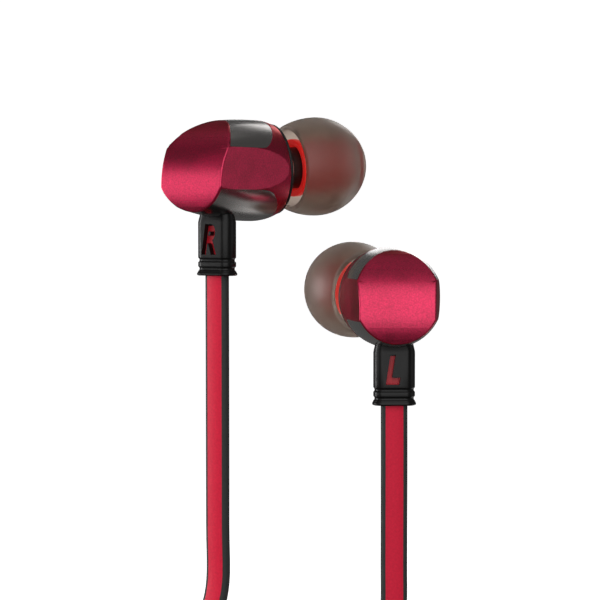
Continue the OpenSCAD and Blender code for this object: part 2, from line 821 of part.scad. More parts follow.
// A band round all the turns at the coil's right side.
module coil_tie() {
    slack = 0.2;
    near = inner_r + coil_pitch / 4 - cord_t / 2 - slack - 0.35;
    away = upper_r + 0.65;
    front = layer + cord_w / 2 + slack;
    back = main_layer + cord_w / 2 + slack;
    color(black)
        translate(coil_at)
            difference() {
                translate([near - tie_t, -front - tie_t, -tie_h / 2])
                    cube([away - near + 2 * tie_t, front + back + 2 * tie_t, tie_h]);
                translate([near, -front, -tie_h]) cube([away - near, front + back, 2 * tie_h]);
            }
}

// ---- Plug ----

module at_plug() {
    foot = tail_route[len(tail_route) - 1];
    translate(coil_at + [foot[0], foot[1], foot[2]]) mirror([0, 0, 1]) children();
}

module plug_relief() {
    color(black)
        at_plug()
            difference() {
                cylinder(r1 = relief_r, r2 = relief_r + 0.6, h = relief_h, $fn = round_fn);
                for (low = [1.5:1.6:relief_h - 1.5])
                    translate([0, 0, low]) ring(relief_r + 2, relief_r - 0.1, 0, 0.6);
            }
}

module plug_grip() {
    color(black)
        at_plug()
            translate([0, 0, relief_h])
                difference() {
                    rotate_extrude($fn = round_fn)
                        polygon([
                            [0, 0], [grip_r - 0.7, 0], [grip_r, 0.9], [grip_r, grip_h - 0.8],
                            [grip_r - 0.6, grip_h], [0, grip_h]
                        ]);
                    for (low = [3:1.8:grip_h - 3])
                        translate([0, 0, low]) ring(grip_r + 1, grip_r - 0.3, 0, 0.7);
                }
}

// The contact pin: a sleeve, a ring and a tip on a rod, kept apart by two insulators.
pin_from = relief_h + grip_h;
tip_contact = 4.1;
ring_contact = 2.5;
insulator = 0.7;
sleeve_h = pin_length - tip_contact - ring_contact - 2 * insulator;

module plug_sleeve() {
    color(gold)
        at_plug() {
            ring(pin_r, rod_r + 0.3, pin_from, pin_from + sleeve_h);
            ring(pin_r + 0.65, rod_r + 0.3, pin_from, pin_from + 0.6);
        }
}

module plug_ring() {
    from = pin_from + sleeve_h + insulator;
    color(gold) at_plug() ring(pin_r, rod_r + 0.3, from, from + ring_contact);
}

module plug_tip() {
    from = pin_from + pin_length - tip_contact;
    color(gold)
        at_plug() {
            rotate_extrude($fn = round_fn)
                translate([0, from])
                    polygon([
                        [0, 0], [pin_r, 0], [pin_r, 0.3], [pin_r - 0.5, 1.1], [pin_r - 0.15, 2.2],
                        [pin_r - 0.3, 2.9], [pin_r - 0.95, 3.8], [0.45, tip_contact],
                        [0, tip_contact]
                    ]);
            translate([0, 0, pin_from]) cylinder(r = rod_r, h = from - pin_from + 0.1, $fn = 48);
        }
}

module plug_insulators() {
    color(black)
        at_plug()
            for (from = [pin_from + sleeve_h, pin_from + pin_length - tip_contact - insulator])
                ring(pin_r, rod_r + 0.02, from, from + insulator);
}

at_right() cover();  // right_cover
at_right() barrel();  // right_barrel
at_right() front_gasket();  // right_front_gasket
at_right() front_cap();  // right_front_cap
at_right() nozzle();  // right_nozzle
at_right() nozzle_ring();  // right_nozzle_ring
at_right() sound_screen();  // right_sound_screen
at_right() tip_core();  // right_tip_core
at_right() tip_dome();  // right_tip_dome
at_right() driver_cup();  // right_driver_cup
at_right() driver_magnet();  // right_driver_magnet
at_right() driver_plate();  // right_driver_plate
at_right() voice_coil();  // right_voice_coil
at_right() diaphragm();  // right_diaphragm
at_right() terminal_board();  // right_terminal_board
at_right() boot();  // right_boot
at_right() boot_core();  // right_boot_core
at_left() cover();  // left_cover
at_left() barrel();  // left_barrel
at_left() front_gasket();  // left_front_gasket
at_left() front_cap();  // left_front_cap
at_left() nozzle();  // left_nozzle
at_left() nozzle_ring();  // left_nozzle_ring
at_left() sound_screen();  // left_sound_screen
at_left() tip_core();  // left_tip_core
at_left() tip_dome();  // left_tip_dome
at_left() driver_cup();  // left_driver_cup
at_left() driver_magnet();  // left_driver_magnet
at_left() driver_plate();  // left_driver_plate
at_left() voice_coil();  // left_voice_coil
at_left() diaphragm();  // left_diaphragm
at_left() terminal_board();  // left_terminal_board
at_left() boot();  // left_boot
at_left() boot_core();  // left_boot_core
right_cord();
coil_of(right_coil);  // right_cord_coil
left_cord();
coil_of(left_coil);  // left_cord_coil
coil_of(main_turns);  // main_cord_coil
main_cord_tail();
splitter();
coil_tie();
plug_relief();
plug_grip();
plug_sleeve();
plug_ring();
plug_tip();
plug_insulators();
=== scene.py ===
"""Wired in-ear earphones: the finished pieces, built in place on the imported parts."""

import math

import bpy
from mathutils import Matrix, Vector


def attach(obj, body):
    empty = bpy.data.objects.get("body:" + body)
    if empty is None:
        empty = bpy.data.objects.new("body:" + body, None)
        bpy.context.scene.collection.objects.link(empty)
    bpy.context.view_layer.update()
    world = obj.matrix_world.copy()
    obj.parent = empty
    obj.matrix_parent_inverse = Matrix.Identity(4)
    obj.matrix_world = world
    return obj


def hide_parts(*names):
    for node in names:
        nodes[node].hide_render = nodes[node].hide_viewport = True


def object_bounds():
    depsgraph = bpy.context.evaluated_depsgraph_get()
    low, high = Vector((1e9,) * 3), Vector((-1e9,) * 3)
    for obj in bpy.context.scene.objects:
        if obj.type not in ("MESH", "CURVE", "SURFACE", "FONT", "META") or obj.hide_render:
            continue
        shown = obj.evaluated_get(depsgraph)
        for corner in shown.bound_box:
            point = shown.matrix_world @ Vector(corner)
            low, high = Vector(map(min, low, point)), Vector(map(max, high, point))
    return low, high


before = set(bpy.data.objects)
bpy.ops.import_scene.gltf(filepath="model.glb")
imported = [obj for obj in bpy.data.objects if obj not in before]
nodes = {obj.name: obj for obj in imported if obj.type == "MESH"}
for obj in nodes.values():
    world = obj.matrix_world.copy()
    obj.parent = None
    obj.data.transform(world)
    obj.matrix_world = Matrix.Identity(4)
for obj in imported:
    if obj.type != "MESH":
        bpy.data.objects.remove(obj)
cad_low, cad_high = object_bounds()

MM = 0.001

# ---- Sizes of the earpieces, in millimetres, and how the two are placed ----

NOZZLE_TURN = 27.0
NOZZLE_RISE = 4.0
TIP_AT = 9.5
RIGHT_YAW = 35.0
LEFT_YAW = 2.0
LEFT_FROM_RIGHT = Vector((18.1, 1.3, -16.4))
HOUSING_R = 6.55
HOUSING_TAIL = 14.0    # longer than the housing is, so that the back face can be cut from it
BELLY_R = 62.0         # the long curve along which the housing narrows
BACK_DROP = 2.2
BACK_R = HOUSING_R + BACK_DROP + 0.25
BACK_CENTRE = BACK_R - 12.45
SIDE_BACK = 5.0
SIDE_BACK_AT = -10.75
SIDE_FRONT_AT = -0.5
SIDE_ANGLE = math.atan((HOUSING_R - SIDE_BACK) / (SIDE_FRONT_AT - SIDE_BACK_AT))
COVER_WALL = 0.55
INNER_WALL = 1.18
WINDOW_HALF_W = 5.8
WINDOW_EDGE = 2.62
WINDOW_CORNER_R = 5.0
WINDOW_BACK = 0.3
UPPER_WINDOW_FRONT = 0.25
LOWER_WINDOW_FRONT = 1.3
FRONT_AT = 2.9
GASKET_R = 5.27
GASKET_W = 0.45
GASKET_LIP_R = 5.85
GASKET_STAND = 0.38
CAP_R = 4.79
SPIGOT_R = 4.34
SPIGOT_LENGTH = 1.1
NECK_R = 2.7
NOZZLE_WALL = 0.6
NOZZLE_END = 11.2
FLANGE_W = 1.0
FLANGE_T = 0.5
LIP_R = 3.05
LIP_AT = 9.0
RING_R = 3.0
RING_AT = 4.5
RING_T = 0.35
FIT = 0.03             # the hair's gap between pieces that lie against each other
TIP_R = 6.45
TIP_FRONT_ARC = 7.1
TIP_SKIRT_ARC = 9.5
SKIRT_LENGTH = 4.0
DOME_WALL = 0.6
CORE_R = 3.6
CORE_BEAD_R = 3.75
CORE_BACK = 6.0
CORE_FRONT = 14.5
CORE_BORE_R = 3.1
BORE_END = 11.6
SOUND_R = 2.7
BOOT_AT = 7.05
BOOT_TOP = HOUSING_R - BOOT_AT ** 2 / (2 * BELLY_R)
BOOT_END = 13.4
BOOT_W = 5.3
BOOT_T = 2.65
BOOT_GROOVES = (-11.43, -12.53)
BOOT_CORE_W = 4.1
BOOT_CORE_T = 1.1
LETTER_W = {"R": 2.35, "L": 1.75}
LETTER_H = 3.85
LETTER_SLANT = 0.16
LETTER_AT = -8.83
LETTER_FACE = -1.2
LETTER_DEPTH = 0.69    # half the letter's own thickness, so that its recess ends in the red core


def turned_about(axis, degrees):
    return Matrix.Rotation(math.radians(degrees), 4, axis)


def nozzle_heading(yaw):
    turn, rise = math.radians(yaw), math.radians(NOZZLE_RISE)
    return Vector((math.sin(turn) * math.cos(rise), math.cos(turn) * math.cos(rise), math.sin(rise)))


right_at = -TIP_AT * nozzle_heading(RIGHT_YAW + NOZZLE_TURN)
left_at = right_at + LEFT_FROM_RIGHT
TO_METRES = Matrix.Scale(MM, 4)
MIRROR_X = Matrix.Scale(-1, 4, (1, 0, 0))
HOUSING = {
    "right": TO_METRES @ Matrix.Translation(right_at) @ turned_about("Z", -RIGHT_YAW),
    "left": TO_METRES @ Matrix.Translation(left_at) @ turned_about("Z", LEFT_YAW) @ MIRROR_X,
}
ALONG_Y = turned_about("X", -90)
ALONG_NOZZLE = turned_about("Z", -NOZZLE_TURN) @ turned_about("X", NOZZLE_RISE) @ ALONG_Y
SIDES = ("right", "left")

# ---- Materials ----


def srgb(red, green, blue):
    """A colour as it looks, from 0 to 255, turned into the shader's own values."""
    def linear(value):
        value /= 255
        return value / 12.92 if value <= 0.04045 else ((value + 0.055) / 1.055) ** 2.4
    return (linear(red), linear(green), linear(blue), 1.0)


BROAD_SHARE = 0.08     # how fine the unevenness of gloss is, against the grain itself


def grain_group():
    """Fine grain on a surface: a height to bump, and a little unevenness of colour and gloss."""
    group = bpy.data.node_groups.new("surface_grain", "ShaderNodeTree")
    made = group.interface
    number, colour = "NodeSocketFloat", "NodeSocketColor"
    usual = {"Scale": 5000.0, "Colour Spread": 0.05, "Gloss Spread": 0.05, "Roughness": 0.4}
    for label, value in usual.items():
        made.new_socket(label, in_out="INPUT", socket_type=number).default_value = value
    made.new_socket("Colour", in_out="INPUT", socket_type=colour)
    for label, kind in (("Colour", colour), ("Roughness", number), ("Height", number)):
        made.new_socket(label, in_out="OUTPUT", socket_type=kind)
    tree = group.nodes
    link = group.links.new
    start = tree.new("NodeGroupInput")
    end = tree.new("NodeGroupOutput")
    place = tree.new("ShaderNodeTexCoord")
    fine = tree.new("ShaderNodeTexNoise")
    fine.inputs["Detail"].default_value = 2
    link(place.outputs["Object"], fine.inputs["Vector"])
    link(start.outputs["Scale"], fine.inputs["Scale"])
    broad_scale = tree.new("ShaderNodeMath")
    broad_scale.operation = "MULTIPLY"
    broad_scale.inputs[1].default_value = BROAD_SHARE
    link(start.outputs["Scale"], broad_scale.inputs[0])
    broad = tree.new("ShaderNodeTexNoise")
    link(place.outputs["Object"], broad.inputs["Vector"])
    link(broad_scale.outputs[0], broad.inputs["Scale"])

    def spread_about(noise, spread, middle):
        """middle + (noise - 0.5) * spread, for one number."""
        centred = tree.new("ShaderNodeMath")
        centred.operation = "SUBTRACT"
        centred.inputs[1].default_value = 0.5
        link(noise.outputs["Fac"], centred.inputs[0])
        scaled = tree.new("ShaderNodeMath")
        scaled.operation = "MULTIPLY_ADD"
        link(centred.outputs[0], scaled.inputs[0])
        link(spread, scaled.inputs[1])
        if isinstance(middle, float):
            scaled.inputs[2].default_value = middle
        else:
            link(middle, scaled.inputs[2])
        return scaled.outputs[0]

    value = spread_about(fine, start.outputs["Colour Spread"], 1.0)
    tint = tree.new("ShaderNodeHueSaturation")
    link(value, tint.inputs["Value"])
    link(start.outputs["Colour"], tint.inputs["Color"])
    link(tint.outputs["Color"], end.inputs["Colour"])
    gloss = spread_about(broad, start.outputs["Gloss Spread"], start.outputs["Roughness"])
    link(gloss, end.inputs["Roughness"])
    link(fine.outputs["Fac"], end.inputs["Height"])
    return group


GRAIN = grain_group()


def finish_of(name, colour, roughness, grain=5000.0, colour_spread=0.06, gloss_spread=0.08,
              bump=0.05, bump_depth=0.00002, **sockets):
    """A material: the grain group feeds colour, gloss and bump, and sockets sets the rest."""
    material = bpy.data.materials.new(name)
    material.use_nodes = True
    tree = material.node_tree
    shader = tree.nodes["Principled BSDF"]
    grained = tree.nodes.new("ShaderNodeGroup")
    grained.node_tree = GRAIN
    grained.inputs["Scale"].default_value = grain
    grained.inputs["Colour Spread"].default_value = colour_spread
    grained.inputs["Gloss Spread"].default_value = gloss_spread
    grained.inputs["Roughness"].default_value = roughness
    grained.inputs["Colour"].default_value = colour
    tree.links.new(grained.outputs["Colour"], shader.inputs["Base Color"])
    tree.links.new(grained.outputs["Roughness"], shader.inputs["Roughness"])
    raised = tree.nodes.new("ShaderNodeBump")
    raised.inputs["Strength"].default_value = bump
    raised.inputs["Distance"].default_value = bump_depth
    tree.links.new(grained.outputs["Height"], raised.inputs["Height"])
    tree.links.new(raised.outputs["Normal"], shader.inputs["Normal"])
    for label, value in sockets.items():
        shader.inputs[label.replace("_", " ")].default_value = value
    return material


# Dyed and sealed aluminium: the dye darkens the metal at a slant, and the seal adds a pale sheen.
anodised_red = finish_of("anodised_red", (0.62, 0.014, 0.08, 1), 0.36, grain=5200, colour_spread=1.0,
                         gloss_spread=0.3, bump=0.4, Metallic=1.0, Specular_Tint=(0.5, 0.02, 0.06, 1),
                         Coat_Weight=0.45, Coat_IOR=1.7, Coat_Roughness=0.3)
polished_grey = finish_of("polished_grey", srgb(165, 161, 158), 0.25, grain=3000, colour_spread=0.03,
                          gloss_spread=0.04, bump=0.02, Metallic=1.0)
gasket_black = finish_of("gasket_black", srgb(24, 22, 22), 0.45, Metallic=0.0)
nozzle_black = finish_of("nozzle_black", srgb(30, 26, 26), 0.3, Metallic=0.0)
bright_metal = finish_of("bright_metal", srgb(225, 225, 228), 0.12, gloss_spread=0.03, bump=0.02,
                         Metallic=1.0)
screen_steel = finish_of("screen_steel", srgb(180, 180, 180), 0.3, Metallic=1.0)
# Red silicone that carries light, with a painted glow: a faint emission stands in for the light that reaches
# it through the dome.
core_red_painted_glow = finish_of("core_red_painted_glow", srgb(235, 24, 22), 0.3, grain=2500, bump=0.04,
                     Subsurface_Weight=0.25, Subsurface_Radius=(1.0, 0.2, 0.1), Subsurface_Scale=0.0008,
                     Emission_Color=(1.0, 0.03, 0.025, 1), Emission_Strength=0.26)
dome_smoke = finish_of("dome_smoke", srgb(156, 144, 133), 0.4, grain=2200, bump=0.05, colour_spread=0.04,
                       Transmission_Weight=0.88, IOR=1.41, Subsurface_Weight=1.0,
                       Subsurface_Radius=(1.0, 0.9, 0.8), Subsurface_Scale=0.002)
plain_steel = finish_of("plain_steel", srgb(170, 168, 165), 0.3, Metallic=1.0)
magnet_nickel = finish_of("magnet_nickel", srgb(190, 186, 178), 0.2, Metallic=1.0)
copper_wire = finish_of("copper_wire", srgb(200, 118, 70), 0.35, grain=9000, bump=0.4, Metallic=1.0)
film_amber = finish_of("film_amber", srgb(200, 176, 120), 0.25)
board_green = finish_of("board_green", srgb(30, 96, 56), 0.4)
boot_black = finish_of("boot_black", srgb(13, 12, 12), 0.32, grain=4500, bump=0.15, colour_spread=0.1,
                       Specular_IOR_Level=0.3)
boot_red = finish_of("boot_red", srgb(205, 22, 42), 0.45, grain=4500, bump=0.08)
tie_black = finish_of("tie_black", srgb(30, 30, 32), 0.6, grain=3500, bump=0.2, Specular_IOR_Level=0.3)
plug_black = finish_of("plug_black", srgb(26, 26, 28), 0.45, grain=4500, bump=0.12,
                       Specular_IOR_Level=0.3)
contact_gold = finish_of("contact_gold", srgb(228, 186, 98), 0.16, gloss_spread=0.05, bump=0.02,
                         Metallic=1.0)
insulator_black = finish_of("insulator_black", srgb(24, 24, 26), 0.4)


CORD_W = 3.4
CORD_T = 1.3
STRIPE_HALF = 1.12
STRIPE_RED = srgb(238, 34, 68)
EDGE_CHARCOAL = srgb(58, 60, 60)
STRIPE_BLUR = 0.006    # how soft the stripe's edge is, as a share of the cord's width


def cord_finish():
    """Red middle stripe and charcoal edges, placed by the cord's own UV map: U across, V along."""
    material = finish_of("cord_two_tone", STRIPE_RED, 0.5, grain=3600, bump=0.1, colour_spread=0.3,
                         Specular_IOR_Level=0.2)
    tree = material.node_tree
    grained = next(n for n in tree.nodes if n.type == "GROUP")
    across = tree.nodes.new("ShaderNodeUVMap")
    across.uv_map = "cord"
    parts = tree.nodes.new("ShaderNodeSeparateXYZ")
    tree.links.new(across.outputs["UV"], parts.inputs["Vector"])
    centred = tree.nodes.new("ShaderNodeMath")
    centred.operation = "SUBTRACT"
    centred.inputs[1].default_value = 0.5
    tree.links.new(parts.outputs["X"], centred.inputs[0])
    distance = tree.nodes.new("ShaderNodeMath")
    distance.operation = "ABSOLUTE"
    tree.links.new(centred.outputs[0], distance.inputs[0])
    edge = tree.nodes.new("ShaderNodeMapRange")
    edge.inputs["From Min"].default_value = STRIPE_HALF / CORD_W - STRIPE_BLUR
    edge.inputs["From Max"].default_value = STRIPE_HALF / CORD_W + STRIPE_BLUR
    tree.links.new(distance.outputs[0], edge.inputs["Value"])
    mix = tree.nodes.new("ShaderNodeMix")
    mix.data_type = "RGBA"
    mix.inputs["A"].default_value = STRIPE_RED
    mix.inputs["B"].default_value = EDGE_CHARCOAL
    tree.links.new(edge.outputs["Result"], mix.inputs["Factor"])
    tree.links.new(mix.outputs["Result"], grained.inputs["Colour"])
    return material


cord_two_tone = cord_finish()

# ---- Camera, backdrop and light ----

VIEW_SIDE = 600
VIEW_SCALE = 7.8                     # pixels of the view to a millimetre of the object
RIGHT_HOUSING_PIXEL = (249.9, 170.3)  # where the right housing's middle stands in the view
VIEW_DEPTH = -7.0                     # the plane of the view that has this scale
ELEVATION = 2.5
LENS = 107.7
SENSOR = 36.0


def place_camera():
    data = bpy.data.cameras.new("camera")
    data.lens = LENS
    data.sensor_width = SENSOR
    data.clip_start = 0.01
    data.clip_end = 20
    camera = bpy.data.objects.new("camera", data)
    bpy.context.scene.collection.objects.link(camera)
    bpy.context.scene.camera = camera
    middle = VIEW_SIDE / 2
    target = Vector((
        right_at.x + (middle - RIGHT_HOUSING_PIXEL[0]) / VIEW_SCALE,
        VIEW_DEPTH,
        right_at.z - (middle - RIGHT_HOUSING_PIXEL[1]) / VIEW_SCALE,
    )) * MM
    distance = VIEW_SIDE / VIEW_SCALE * MM * LENS / SENSOR
    tilt = math.radians(ELEVATION)
    back = Vector((0, -math.cos(tilt), math.sin(tilt)))
    camera.location = target + back * distance
    camera.rotation_euler = (-back).to_track_quat("-Z", "Y").to_euler()
    return target


view_middle = place_camera()
FLOOR_BELOW = 0.05     # metres from the coil's lowest point down to the floor
WORLD_LIGHT = 0.11


def add_backdrop():
    """A pale floor that curves up into walls all round, well below and behind the hanging coil."""
    floor_z = cad_low.z - FLOOR_BELOW
    half_x, half_y = 4.0, 2.0
    curve_r, wall_top, steps = 0.8, 4.0, 12
    bpy.ops.mesh.primitive_plane_add(size=2, location=(0, 0, floor_z))
    floor = bpy.context.object
    floor.name = "floor"
    floor.scale = (half_x, half_y, 1)
    bpy.ops.object.transform_apply(location=True, rotation=True, scale=True)
    bpy.ops.object.mode_set(mode="EDIT")
    bpy.ops.mesh.select_mode(type="EDGE")
    bpy.ops.mesh.select_all(action="SELECT")
    bpy.ops.mesh.region_to_loop()
    out, height = 0.0, 0.0
    for step in range(1, steps + 2):
        angle = math.radians(90 * min(step, steps) / steps)
        next_out = curve_r * math.sin(angle)
        next_height = curve_r * (1 - math.cos(angle)) if step <= steps else wall_top
        rise = next_height - height
        bpy.ops.mesh.extrude_edges_move(TRANSFORM_OT_translate={"value": (0, 0, rise)})
        growth = ((half_x + next_out) / (half_x + out), (half_y + next_out) / (half_y + out), 1)
        bpy.ops.transform.resize(value=growth, center_override=(0, 0, floor_z))
        out, height = next_out, next_height
    bpy.ops.mesh.select_mode(type="VERT")
    bpy.ops.object.mode_set(mode="OBJECT")
    for face in floor.data.polygons:
        face.use_smooth = True
    material = bpy.data.materials.new("pale_floor")
    material.use_nodes = True
    shader = material.node_tree.nodes["Principled BSDF"]
    shader.inputs["Base Color"].default_value = (0.9, 0.9, 0.9, 1)
    shader.inputs["Roughness"].default_value = 0.9
    shader.inputs["Emission Color"].default_value = (1, 1, 1, 1)
    shader.inputs["Emission Strength"].default_value = 0.95
    floor.data.materials.append(material)
    floor.visible_glossy = False
    floor.visible_diffuse = False


def add_light(name, across, up, distance, width, height, brightness):
    """A soft box that faces the middle of the view. across is its angle from the camera's side
    round to the right, up its angle above the level, and brightness its surface's radiance."""
    data = bpy.data.lights.new(name, "AREA")
    data.shape = "RECTANGLE"
    data.size = width
    data.size_y = height
    data.energy = brightness * math.pi * width * height
    light = bpy.data.objects.new(name, data)
    bpy.context.scene.collection.objects.link(light)
    a, e = math.radians(across), math.radians(up)
    offset = distance * Vector((math.sin(a) * math.cos(e), -math.cos(a) * math.cos(e), math.sin(e)))
    light.location = view_middle + offset
    light.rotation_euler = (-offset).to_track_quat("-Z", "Y").to_euler()
    light.visible_camera = False


add_backdrop()
add_light("front_box", 0, 18, 0.8, 0.9, 1.1, 1.35)
add_light("left_box", -68, 4, 0.8, 0.42, 0.48, 1.1)
add_light("right_box", 84, 0, 0.8, 0.36, 0.5, 0.45)
add_light("left_strip", -100, 0, 0.7, 0.18, 0.5, 8.0)
add_light("top_panel", 0, 85, 0.8, 1.2, 1.2, 0.16)
add_light("back_strip", 163, 27, 0.8, 0.17, 0.3, 2.5)
add_light("back_card", 174, 9, 0.8, 0.24, 0.17, 2.2)
add_light("back_low", 137, -32, 0.8, 0.55, 0.4, 0.95)
world = bpy.data.worlds.new("studio")
world.use_nodes = True
world.node_tree.nodes["Background"].inputs["Color"].default_value = (1, 1, 1, 1)
world.node_tree.nodes["Background"].inputs["Strength"].default_value = WORLD_LIGHT
bpy.context.scene.world = world
bpy.context.scene.view_settings.view_transform = "Standard"

# ---- Making and placing pieces ----


def deselect():
    bpy.ops.object.select_all(action="DESELECT")


def active(piece):
    deselect()
    bpy.context.view_layer.objects.active = piece
    piece.select_set(True)


def settle(piece, name, matrix, material, body, replaced=(), smooth_angle=30, even=False):
    """Places a finished mesh in the frame, points its faces outwards and puts it on its body."""
    piece.name = name
    piece.data.name = name
    piece.data.transform(matrix @ piece.matrix_basis)
    piece.matrix_basis = Matrix.Identity(4)
    if matrix.determinant() < 0:
        piece.data.flip_normals()
    piece.data.materials.clear()
    piece.data.materials.append(material)
    active(piece)
    bpy.ops.object.shade_smooth_by_angle(angle=math.radians(smooth_angle))
    if even:
        modifier = piece.modifiers.new("even_normals", "WEIGHTED_NORMAL")
        modifier.keep_sharp = True
        bpy.ops.object.modifier_apply(modifier=modifier.name)
    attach(piece, body)
    if replaced:
        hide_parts(*replaced)
    return piece


# ---- Shaping, in millimetres ----

MERGE = 0.002
POLE = 0.0005


def edit(piece, *steps):
    """Runs the steps in edit mode on the whole piece."""
    active(piece)
    bpy.ops.object.mode_set(mode="EDIT")
    bpy.ops.mesh.select_all(action="SELECT")
    for step in steps:
        step()
    bpy.ops.object.mode_set(mode="OBJECT")


def tidy_mesh():
    bpy.ops.mesh.select_all(action="SELECT")
    bpy.ops.mesh.remove_doubles(threshold=MERGE)
    bpy.ops.mesh.normals_make_consistent(inside=False)


def apply_place():
    bpy.ops.object.transform_apply(location=True, rotation=True, scale=True)


def turned(name, profile, sides=96):
    """A turned piece, drawn out ring by ring along its profile of radius and height. A profile
    that ends where it began closes on itself, and one that ends at nought closes at a pole."""
    radius, height = profile[0]
    deselect()
    bpy.ops.mesh.primitive_circle_add(vertices=sides, radius=max(radius, POLE), location=(0, 0, height))
    piece = bpy.context.object
    piece.name = name
    apply_place()

    def draw_out():
        for (r0, z0), (r1, z1) in zip(profile, profile[1:]):
            bpy.ops.mesh.extrude_region_move(TRANSFORM_OT_translate={"value": (0, 0, z1 - z0)})
            growth = max(r1, POLE) / max(r0, POLE)
            bpy.ops.transform.resize(value=(growth, growth, 1), center_override=(0, 0, z1))

    edit(piece, draw_out, tidy_mesh)
    return piece


def arc_points(centre_r, centre_z, radius, start, end, steps):
    """Points of radius and height along an arc, from one angle to another in degrees."""
    made = []
    for i in range(steps + 1):
        angle = math.radians(start + (end - start) * i / steps)
        made.append((centre_r + radius * math.cos(angle), centre_z + radius * math.sin(angle)))
    return made


def stood(piece, matrix):
    piece.data.transform(matrix)
    return piece


def bevelled(piece, width, segments=3, angle=30):
    modifier = piece.modifiers.new("bevel", "BEVEL")
    modifier.width = width
    modifier.segments = segments
    modifier.limit_method = "ANGLE"
    modifier.angle_limit = math.radians(angle)
    active(piece)
    bpy.ops.object.modifier_apply(modifier=modifier.name)
    return piece


def combine(piece, tool, operation, crossing=False):
    """Cuts a piece with a tool, or keeps what the two share, and throws the tool away. crossing
    is for a tool whose own faces cross."""
    modifier = piece.modifiers.new("combine", "BOOLEAN")
    modifier.operation = operation
    modifier.solver = "EXACT"
    modifier.use_self = crossing
    modifier.object = tool
    active(piece)
    bpy.ops.object.modifier_apply(modifier=modifier.name)
    bpy.data.objects.remove(tool, do_unlink=True)
    edit(piece, lambda: bpy.ops.mesh.dissolve_degenerate(threshold=MERGE),
         lambda: bpy.ops.mesh.dissolve_limited(angle_limit=math.radians(0.3), delimit={"NORMAL"}))
    return piece


def twin(piece):
    """A copy with a mesh of its own."""
    made = piece.copy()
    made.data = piece.data.copy()
    bpy.context.scene.collection.objects.link(made)
    return made


def cut_beyond(piece, point, normal):
    """Cuts off what lies beyond a plane, and closes the cut."""
    edit(piece, lambda: bpy.ops.mesh.bisect(plane_co=point, plane_no=normal, use_fill=True, clear_outer=True))


def soften_sharp(piece, sharpness, width, segments, where=None):
    """Rounds the edges at which the surface turns by more than an angle, everywhere or only
    where a test of the edge's middle says so."""
    active(piece)
    bpy.ops.object.mode_set(mode="EDIT")
    bpy.ops.mesh.select_mode(type="EDGE")
    bpy.ops.mesh.select_all(action="DESELECT")
    bpy.ops.mesh.edges_select_sharp(sharpness=math.radians(sharpness))
    bpy.ops.object.mode_set(mode="OBJECT")
    points = piece.data.vertices
    sharp = []
    for edge in piece.data.edges:
        middle = (points[edge.vertices[0]].co + points[edge.vertices[1]].co) / 2
        sharp.append(edge.select and (where is None or where(middle)))
    for part in (piece.data.vertices, piece.data.polygons):
        part.foreach_set("select", [False] * len(part))
    piece.data.edges.foreach_set("select", sharp)
    bpy.ops.object.mode_set(mode="EDIT")
    bpy.ops.mesh.bevel(offset=width, segments=segments, profile=0.5, clamp_overlap=False)
    bpy.ops.mesh.select_mode(type="VERT")
    tidy_mesh()
    bpy.ops.object.mode_set(mode="OBJECT")
    return piece


def place_pairs(template, part, matrix, material, tip=False, smooth_angle=30, even=False):
    """Puts a copy of a finished form in both earpieces and throws the template away."""
    for side in SIDES:
        body = side + "_tip" if tip else "headset"
        settle(twin(template), side + "_" + part + "_made", HOUSING[side] @ matrix, material, body,
               (side + "_" + part,), smooth_angle, even)
    bpy.data.objects.remove(template, do_unlink=True)


IN_PLACE = Matrix.Identity(4)

# ---- Housing ----


def room_ahead(inset=0.0, shift=0.0):
    """All the space in front of the curved back face."""
    centre = (0, BACK_CENTRE + shift, -BACK_DROP)
    deselect()
    bpy.ops.mesh.primitive_cylinder_add(vertices=256, radius=BACK_R - inset, depth=30, location=centre,
                                        rotation=(0, math.radians(90), 0))
    room = bpy.context.object
    apply_place()

    def open_forwards():
        bpy.ops.mesh.bisect(plane_co=centre, plane_no=(0, 1, 0), use_fill=True, clear_outer=True)
        bpy.ops.mesh.extrude_region_move(TRANSFORM_OT_translate={"value": (0, 30, 0)})

    edit(room, open_forwards, tidy_mesh)
    return room


def housing_solid(name, inset=0.0):
    """The housing's outer form, drawn in by inset: a long narrowing barrel with a ball in front,
    flat sides that close in towards the back, a front square to the nozzle and a curved back."""
    profile = [(0, -HOUSING_TAIL)]
    for step in range(29):
        z = 0.5 * step - HOUSING_TAIL
        profile.append((HOUSING_R - BELLY_R + math.sqrt((BELLY_R - inset) ** 2 - z * z), z))
    profile += arc_points(0, 0, HOUSING_R - inset, 4, 88, 21) + [(0, HOUSING_R - inset)]
    solid = stood(turned(name, profile, 160), ALONG_Y)
    for side in (-1, 1):
        cut_beyond(solid, (side * (HOUSING_R - inset), SIDE_FRONT_AT, 0),
                   (side * math.cos(SIDE_ANGLE), -math.sin(SIDE_ANGLE), 0))
    nozzle = ALONG_NOZZLE @ Vector((0, 0, 1))
    cut_beyond(solid, nozzle * (FRONT_AT - inset), nozzle)
    return combine(solid, room_ahead(inset), "INTERSECT")


def window_space(front, up):
    """The room over one window, from its straight edges outwards and round its front corners."""
    length = 20
    deselect()
    bpy.ops.mesh.primitive_plane_add(size=1, location=(0, front - length / 2, up * WINDOW_EDGE))
    space = bpy.context.object
    space.scale = (2 * WINDOW_HALF_W, length, 1)
    apply_place()
    for vertex in space.data.vertices:
        vertex.select = vertex.co.y > front - 1

    def round_and_raise():
        bpy.ops.mesh.bevel(offset=WINDOW_CORNER_R, affect="VERTICES", segments=32)
        bpy.ops.mesh.select_all(action="SELECT")
        bpy.ops.mesh.extrude_region_move(TRANSFORM_OT_translate={"value": (0, 0, 8 * up)})

    active(space)
    bpy.ops.object.mode_set(mode="EDIT")
    round_and_raise()
    tidy_mesh()
    bpy.ops.object.mode_set(mode="OBJECT")
    return combine(space, room_ahead(shift=WINDOW_BACK), "INTERSECT")


def rod(radius, low, high):
    return stood(turned("rod", [(0, low), (radius, low), (radius, high), (0, high)], 128), ALONG_NOZZLE)


